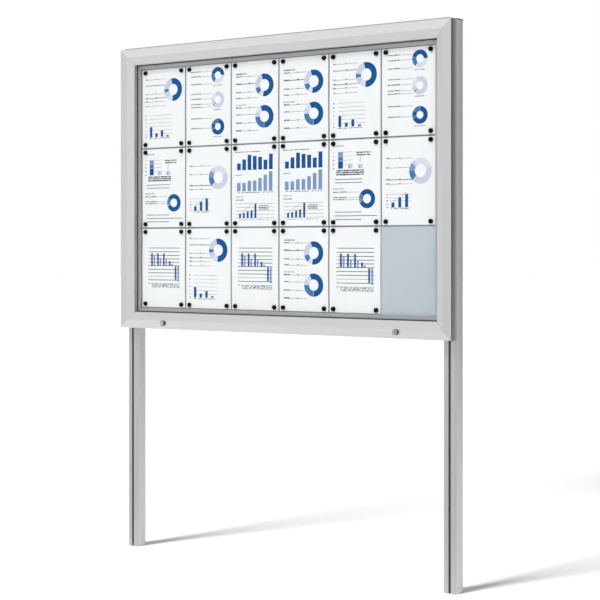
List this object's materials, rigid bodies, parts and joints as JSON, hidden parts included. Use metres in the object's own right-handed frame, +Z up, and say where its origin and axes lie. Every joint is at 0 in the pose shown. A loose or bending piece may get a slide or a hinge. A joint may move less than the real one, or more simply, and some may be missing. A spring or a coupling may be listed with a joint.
{
  "type": "lockable notice board",
  "caption": "Shallow glazed display case on a pair of square posts, with a lockable top-hung door in a bevelled metal frame and printed sheets held by round magnets.",
  "frame": {"origin": "on the ground, midway between the posts and midway through the depth of lock heads to post caps", "axes": "+Z up along the posts, +X along the board to the viewer's right, +Y from the glazed front to the back"},
  "size_m": [1.447, 0.0984, 1.9047],
  "materials": {
    "board_profile": "satin anodised",
    "post_profile": "satin anodised",
    "post_cap": "fine grain",
    "cleat": "mill finish",
    "back_panel": "smooth coated steel",
    "seal": "matt",
    "tape": "matt",
    "bead": "matt",
    "glass": "clear safety glass",
    "fastener": "zinc plated",
    "hinge": "satin anodised",
    "lock": "bright nickel plate",
    "lock_cam": "zinc plated",
    "strut_tube": "black lacquer",
    "strut_rod": "hard chrome",
    "print": "smooth, printed charts in blue and grey",
    "magnet": "black cap with a soft sheen"
  },
  "bodies": {
    "stand": {"post_left": "post_profile", "post_right": "post_profile", "post_cap_left": "post_cap", "post_cap_right": "post_cap", "case_top_rail": "board_profile", "case_bottom_rail": "board_profile", "case_left_stile": "board_profile", "case_right_stile": "board_profile", "case_corner_cleats": "cleat", "back_panel": "back_panel", "door_seal": "seal", "slot_bolts": "fastener", "bolt_nuts": "fastener", "bolt_washers": "fastener", "lock_keepers": "fastener", "case_hinge_leaf": "hinge", "hinge_pin": "fastener", "case_hinge_rivets": "hinge", "strut_case_studs": "fastener", "sheets_one_ring": "print", "sheets_three_rings": "print", "sheets_two_rings": "print", "sheets_stacked_bar": "print", "sheets_large_ring": "print", "sheets_bar_rows": "print", "sheets_grid_bars": "print", "magnets_top_row": "magnet", "magnets_middle_row": "magnet", "magnets_bottom_row": "magnet"},
    "door": {"door_top_rail": "board_profile", "door_bottom_rail": "board_profile", "door_left_stile": "board_profile", "door_right_stile": "board_profile", "door_corner_cleats": "cleat", "glass_pane": "glass", "glazing_tape": "tape", "glazing_beads": "bead", "door_hinge_leaf": "hinge", "door_hinge_rivets": "hinge", "lock_housings": "lock", "lock_nuts": "lock", "strut_door_studs": "fastener"},
    "left_lock": {"lock_left_plug": "lock", "lock_left_cam": "lock_cam", "lock_left_screw": "lock_cam"},
    "left_strut_tube": {"strut_left_tube": "strut_tube"},
    "left_strut_rod": {"strut_left_rod": "strut_rod"},
    "right_lock": {"lock_right_plug": "lock", "lock_right_cam": "lock_cam", "lock_right_screw": "lock_cam"},
    "right_strut_tube": {"strut_right_tube": "strut_tube"},
    "right_strut_rod": {"strut_right_rod": "strut_rod"}
  },
  "joints": [
    {"name": "door_hinge", "type": "hinge", "parent": "stand", "child": "door", "pos_m": [0, -0.02825, 1.9025], "axis": [-1, 0, 0], "range_deg": [0, 85]},
    {"name": "left_lock_turn", "type": "hinge", "parent": "door", "child": "left_lock", "pos_m": [-0.51, -0.04225, 0.862], "axis": [0, 1, 0], "range_deg": [0, 90]},
    {"name": "right_lock_turn", "type": "hinge", "parent": "door", "child": "right_lock", "pos_m": [0.51, -0.04225, 0.862], "axis": [0, -1, 0], "range_deg": [0, 90]},
    {"name": "left_strut_swing", "type": "hinge", "parent": "stand", "child": "left_strut_tube", "pos_m": [-0.698, -0.02025, 1.78], "axis": [-1, 0, 0], "range_deg": [0, 98.5]},
    {"name": "left_strut_slide", "type": "slide", "parent": "left_strut_tube", "child": "left_strut_rod", "axis": [0, 0, -1], "range_m": [0, 0.1335]},
    {"name": "right_strut_swing", "type": "hinge", "parent": "stand", "child": "right_strut_tube", "pos_m": [0.698, -0.02025, 1.78], "axis": [-1, 0, 0], "range_deg": [0, 98.5]},
    {"name": "right_strut_slide", "type": "slide", "parent": "right_strut_tube", "child": "right_strut_rod", "axis": [0, 0, -1], "range_m": [0, 0.1335]}
  ],
  "couplings": [
    {"joint": "left_strut_swing", "follows": "door_hinge", "ratio": 1.1582},
    {"joint": "left_strut_slide", "follows": "door_hinge", "m_per_rad": 0.089867},
    {"joint": "right_strut_swing", "follows": "door_hinge", "ratio": 1.1582},
    {"joint": "right_strut_slide", "follows": "door_hinge", "m_per_rad": 0.089867}
  ]
}
